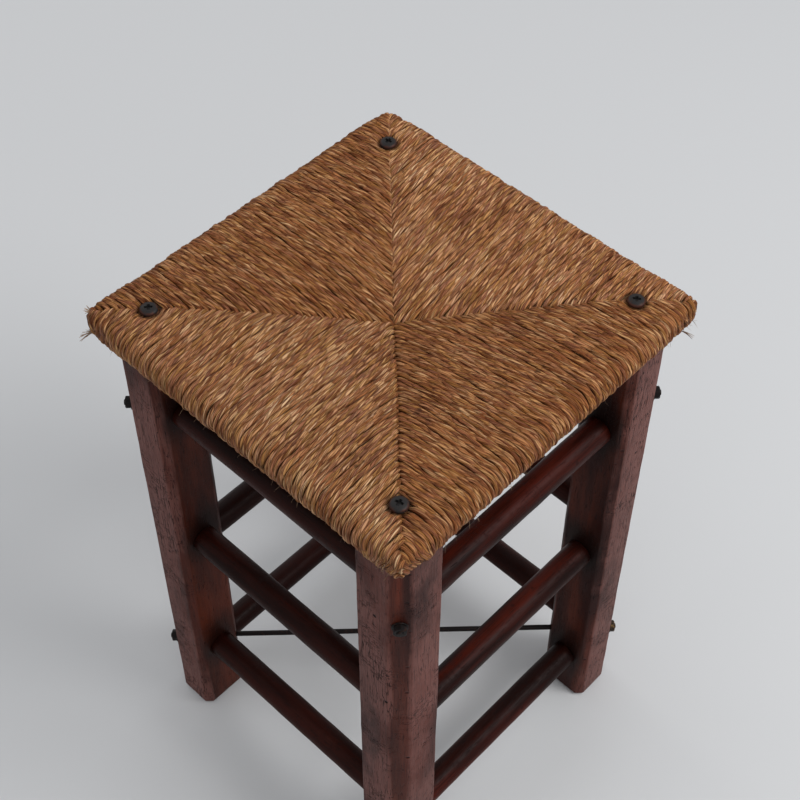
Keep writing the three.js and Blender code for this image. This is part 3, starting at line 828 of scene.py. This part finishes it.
odd_leaves = ranged(leaf[2], 0.62, 0.86, 0.0, 0.45)
pink_leaves = ranged(leaf[2], 0.34, 0.12, 0.0, 0.42)
colour = blended(grey_leaves, ramp.outputs[0], (0.195, 0.102, 0.068, 1))
colour = blended(odd_leaves, colour, (0.455, 0.240, 0.068, 1))
colour = blended(pink_leaves, colour, (0.370, 0.158, 0.098, 1))
# Painted shade: darker in the grooves, where the ends are tucked in and towards the edges of each leaf.
shade = plus(times(given["Groove"], 0.52), times(minus(1.0, leaf_rise), 0.40), clamp=True)
colour = blended(shade, colour, (0.078, 0.0205, 0.0045, 1))
# Painted light and shade: the front and back quarters are darker, and the right one paler, for how
# the lamp falls on cords that run each way.
spot = add_node(rush_look, "ShaderNodeSeparateXYZ", Vector=place).outputs
front_or_back = above(unsigned(spot[1]), unsigned(spot[0]))
at_right = above(spot[0], unsigned(spot[1]))
colour = blended(times(front_or_back, 0.5), colour, (0.744, 0.546, 0.334, 1), "MULTIPLY")
colour = blended(at_right, colour, (1.13, 1.11, 1.10, 1), "MULTIPLY")


def from_screws(tree, place):
    """How far a point is from the axis of the nearest seat screw."""
    split = add_node(tree, "ShaderNodeSeparateXYZ", Vector=place)
    off_axis = [minus(unsigned(split.outputs[i]), leg_axis) for i in (0, 1)]
    flat = add_node(tree, "ShaderNodeCombineXYZ", X=off_axis[0], Y=off_axis[1])
    return add_node(tree, "ShaderNodeVectorMath", operation="LENGTH", i0=flat.outputs[0]).outputs["Value"]


stain = ranged(from_screws(rush_look, place), 0.0115, 0.0072, 0.0, 0.6)
colour = blended(stain, colour, (0.02, 0.010, 0.006, 1))
knots = ranged(stretched_noise(place, 75.0, detail=2.0), 0.70, 0.76, 0.0, 0.6)
feed(result, Color=blended(knots, colour, (0.035, 0.014, 0.007, 1)),
     Roughness=plus(0.48, times(fibres, 0.3)), Height=plus(leaf_rise, times(fibres, 0.5)))

rush, tree, shader = new_material("rush")
strand_map = add_node(tree, "ShaderNodeUVMap", uv_map="strand")
groove_shade_node = add_node(tree, "ShaderNodeAttribute", attribute_name="groove")
look = add_node(tree, "ShaderNodeGroup", node_tree=rush_look, Strand=strand_map.outputs[0],
                Place=placed_by_object(tree), Groove=groove_shade_node.outputs["Fac"])
finish_with(shader, look, 0.9, 0.0008)
feed(shader, Specular_IOR_Level=0.12)

# The corner at the back right is drawn in more than the others.
quarters = (("right", 0.0, (under_end, corner_reach, "towards"), (under_end, blunt_reach, "towards")),
            ("back", 0.0, (over_end, blunt_reach, "towards"), (under_end, corner_reach, "towards")),
            ("left", 0.0, (over_end, corner_reach, "towards"), (over_end, corner_reach, "away")),
            ("front", 0.0012, (under_end, corner_reach, "away"), (over_end, corner_reach, "towards")))
for quarter, (side, *how) in enumerate(quarters):
    cords = cord_mesh(f"rush_cords_{side}", quarter, *how)
    settle(cords, rush, "rush", "rush_seat")

# Loose fibres
# Ends of leaves that have worked out of the cord, most at the corners and along the edge.
# They are dark brown where they leave the cord and pale at their tips.
fibre_points, fibre_faces, fibre_tones = [], [], []
fibre_sides = 4
fibre_steps = 7


def add_fibre(start, direction, length, thickness, droop, curl):
    """One thin tapering leaf end that starts in the cord, and bends and droops."""
    direction = Vector(direction).normalized()
    side = direction.cross(Vector((0, 0, 1)))
    side = side.normalized() if side.length > 0.01 else Vector((1, 0, 0))
    paleness = draw.uniform(0, 1)
    here = Vector(start)
    base = len(fibre_points)
    for step in range(fibre_steps + 1):
        share = step / fibre_steps
        ahead = (direction + side * curl * share + Vector((0, 0, -droop * share))).normalized()
        if step:
            here = here + ahead * (length / fibre_steps)
        across = ahead.cross(Vector((0.3, 0.2, 1))).normalized()
        up = across.cross(ahead)
        radius = thickness * (1 - 0.75 * share)
        for k in range(fibre_sides):
            angle = 2 * math.pi * k / fibre_sides
            ring_point = across * radius * math.cos(angle) + up * radius * 0.5 * math.sin(angle)
            fibre_points.append(here + ring_point)
            fibre_tones.append(share * paleness)
    for step in range(fibre_steps):
        for k in range(fibre_sides):
            a = base + step * fibre_sides + k
            b = base + step * fibre_sides + (k + 1) % fibre_sides
            fibre_faces.append((a, b, b + fibre_sides, a + fibre_sides))
    fibre_faces.append(tuple(base + k for k in reversed(range(fibre_sides))))
    fibre_faces.append(tuple(base + fibre_steps * fibre_sides + k for k in range(fibre_sides)))


def edge_fibre(quarter, aside, angle, length, thickness, droop, curl):
    """A fibre that starts on the rolled edge, at an angle round the roll from its top."""
    turn = Matrix.Rotation(quarter * math.pi / 2, 3, "Z")
    radius = roll_radius - half_height
    start = Vector((edge + radius * math.sin(angle), aside, roll_centre + radius * math.cos(angle)))
    way = Vector((math.sin(angle), draw.uniform(-0.9, 0.9), math.cos(angle) * 0.6 - 0.1))
    add_fibre(turn @ start, turn @ way, length, thickness, droop, curl)


for quarter in range(4):
    for _ in range(26):
        edge_fibre(quarter, draw.uniform(-0.155, 0.155), draw.uniform(1.3, 2.7), draw.uniform(0.004, 0.009),
                   draw.uniform(0.00015, 0.0003), draw.uniform(0.2, 1.2), draw.uniform(-1.2, 1.2))
for corner_turn, count in ((2, 6), (1, 14), (3, 7), (0, 4)):
    for _ in range(count):
        edge_fibre(corner_turn, draw.uniform(0.148, 0.158), draw.uniform(1.2, 2.6),
                   draw.uniform(0.004, 0.008), draw.uniform(0.0002, 0.0004), draw.uniform(0.3, 1.3),
                   draw.uniform(-1.5, 1.5))
# Two tufts hang out at the back left corner and a curled end at the front right one.
tuft_corner = corner_reach - 0.0045
for height, rise, droop, longest, count in ((seat_bottom + 0.0030, -0.30, 0.4, 0.0165, 16),
                                            (seat_top - 0.0030, 0.9, 0.3, 0.0085, 10)):
    for _ in range(count):
        spread = draw.uniform(-0.45, 0.45)
        add_fibre((-tuft_corner, tuft_corner, height), (-1 - spread, 1 - spread, rise),
                  longest * draw.uniform(0.6, 1.0), draw.uniform(0.0008, 0.0013), droop,
                  draw.uniform(-1.1, 1.1))
for curl in (0.9, 1.4, 2.0):
    add_fibre((tuft_corner - 0.012, -tuft_corner - 0.002, seat_bottom + 0.003), (1, -0.9, -0.4), 0.012,
              0.0009, -0.3, curl)
fibre_mesh = bpy.data.meshes.new("rush_fibres")
fibre_mesh.from_pydata([tuple(p) for p in fibre_points], [], fibre_faces)
fibre_mesh.attributes.new("paleness", "FLOAT", "POINT").data.foreach_set("value", fibre_tones)
fibre_mesh.update()
loose_leaf, tree, shader = new_material("loose_leaf")
paleness = add_node(tree, "ShaderNodeAttribute", attribute_name="paleness").outputs["Fac"]
feed(shader, Base_Color=blended(paleness, (0.055, 0.024, 0.011, 1), (0.42, 0.26, 0.14, 1)), Roughness=0.6)
settle(new_object("rush_fibres", fibre_mesh), loose_leaf, "rush")

# Seat screws
# Four black domed screws with a cross recess, driven through the rush and the laps of the
# rails into the tops of the legs.
screw_low, screw_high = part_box("seat_screw_back_right")
head_radius = (screw_high.x - screw_low.x) / 2
head_height = 0.0038
head_rim = 0.0012
head_seat = screw_high.z - head_height
tip_length = 0.006
tip_share = 0.08
recess_length, recess_width, recess_depth = 0.0078, 0.0029, 0.0026
recess_taper = (0.55, 0.7, 1)
screw = start_with(bpy.ops.mesh.primitive_cylinder_add, vertices=40, radius=head_radius,
                   depth=head_rim, location=(0, 0, head_seat + head_rim / 2))
bpy.ops.object.mode_set(mode="EDIT")
dome_steps = 6
dome_height = head_height - head_rim
dome_flat = 0.06
for step in range(dome_steps):
    pick("FACE", lambda f: f.normal.z > 0.9 and f.calc_center_median().xy.length < hair)
    now, after = (math.pi / 2 * k / dome_steps for k in (step, step + 1))
    bpy.ops.mesh.extrude_region_move(
        TRANSFORM_OT_translate={"value": (0, 0, dome_height * (math.sin(after) - math.sin(now)))})
    shrink = max(math.cos(after), dome_flat) / max(math.cos(now), dome_flat)
    bpy.ops.transform.resize(value=(shrink, shrink, 1), center_override=(0, 0, 0))
pick("FACE", lambda f: f.normal.z < -0.9)
bpy.ops.mesh.inset(thickness=head_radius - shank_radius)
bpy.ops.mesh.extrude_region_move(
    TRANSFORM_OT_translate={"value": (0, 0, screw_low.z + tip_length - head_seat)})
bpy.ops.mesh.extrude_region_move(TRANSFORM_OT_translate={"value": (0, 0, -tip_length)})
bpy.ops.transform.resize(value=(tip_share, tip_share, 1), center_override=(0, 0, 0))
bpy.ops.object.mode_set(mode="OBJECT")
# The cross recess narrows downwards.
for turn in (0, 90):
    slot_cut = start_with(bpy.ops.mesh.primitive_cube_add, size=1, location=(0, 0, screw_high.z),
                          scale=(recess_length, recess_width, 2 * recess_depth),
                          rotation=(0, 0, math.radians(turn)))
    bpy.ops.object.mode_set(mode="EDIT")
    pick("FACE", lambda f: f.normal.z < -0.9)
    bpy.ops.transform.resize(value=recess_taper, center_override=(0, 0, 0))
    bpy.ops.object.mode_set(mode="OBJECT")
    apply_modifier(screw, "BOOLEAN", object=slot_cut, operation="DIFFERENCE", solver="EXACT")
    bpy.data.objects.remove(slot_cut)

screw_iron = iron_material("screw_iron", (0.026, 0.0245, 0.0245, 1), (0.060, 0.030, 0.018, 1), 0.06, 0.4)
# Round the rims they are red with rust.
tree = screw_iron.node_tree
shader = tree.nodes["Principled BSDF"]
iron_place = placed_by_object(tree)
rust_patches = ranged(stretched_noise(iron_place, 130.0), 0.36, 0.56, 0.0, 0.8)
rim = times(ranged(from_screws(tree, iron_place), 0.0052, 0.0068), rust_patches)
plain = shader.inputs["Base Color"].links[0].from_socket
feed(shader, Base_Color=blended(rim, plain, (0.075, 0.024, 0.014, 1)))
for corner, spin in (("front_left", 15), ("front_right", 35), ("back_right", 5), ("back_left", 50)):
    node = f"seat_screw_{corner}"
    centre = centre_of(node)
    place = Matrix.Translation((centre.x, centre.y, 0))
    piece = copied(screw, f"iron_screw_{corner}", place @ Matrix.Rotation(math.radians(spin), 4, "Z"))
    smooth_by_angle(piece, 30)
    settle(piece, screw_iron, "black_iron", node)
bpy.data.objects.remove(screw)

# Floor, light and camera
# A plain pale floor under a large soft lamp at the front right, with a weak one behind and
# pale light all round.
floor = start_with(bpy.ops.mesh.primitive_plane_add, size=24)
floor.name = "floor"
paper, tree, shader = new_material("pale_paper")
feed(shader, Base_Color=(0.60, 0.605, 0.61, 1), Roughness=0.9)
floor.data.materials.append(paper)

world = bpy.data.worlds.new("studio")
bpy.context.scene.world = world
world.use_nodes = True
tree = world.node_tree
sky_place = add_node(tree, "ShaderNodeTexCoord").outputs["Generated"]
upward = add_node(tree, "ShaderNodeVectorMath", operation="DOT_PRODUCT", i0=sky_place, i1=(0.0, 0.15, 0.95))
sky_light = ranged(upward.outputs["Value"], -0.3, 0.9, 0.20, 1.0)
# Past the floor's far edge the camera and reflections see the same pale tone as the floor.
rays = add_node(tree, "ShaderNodeLightPath").outputs
seen = larger(rays["Is Camera Ray"], larger(rays["Is Glossy Ray"], rays["Is Transmission Ray"]))
strength = add_node(tree, "ShaderNodeMix", data_type="FLOAT", i0=seen, i2=sky_light, i3=0.78)
feed(tree.nodes["Background"], Color=(0.79, 0.80, 0.82, 1), Strength=strength.outputs[0])

lit_point = Vector((0, 0, 0.3))
for name, place, power in (("key", Vector((0.80, -1.80, 2.30)), 42), ("back", Vector((0.3, 2.8, 2.2)), 9)):
    lamp_data = bpy.data.lights.new(name, "AREA")
    lamp_data.shape = "DISK"
    lamp_data.size = 1.5
    lamp_data.energy = power
    lamp = new_object(name, lamp_data)
    lamp.location = place
    lamp.rotation_euler = (lit_point - place).to_track_quat("-Z", "Y").to_euler()

eye = Vector((-0.592, -0.56813, 1.43888))
forward = Vector((0.484787, 0.459315, -0.744319)).normalized()
level = Vector((0.689248, -0.724523, 0.00182))
level = (level - forward * level.dot(forward)).normalized()
turned = Matrix((level, level.cross(forward), -forward)).transposed().to_4x4()
camera_data = bpy.data.cameras.new("view")
camera = new_object("view", camera_data)
camera.matrix_world = Matrix.Translation(eye) @ turned
camera_data.sensor_width = 36
camera_data.lens = 71.0
camera_data.shift_y = -0.0875
camera_data.clip_start = 0.01
bpy.context.scene.camera = camera
bpy.context.scene.view_settings.view_transform = "Standard"
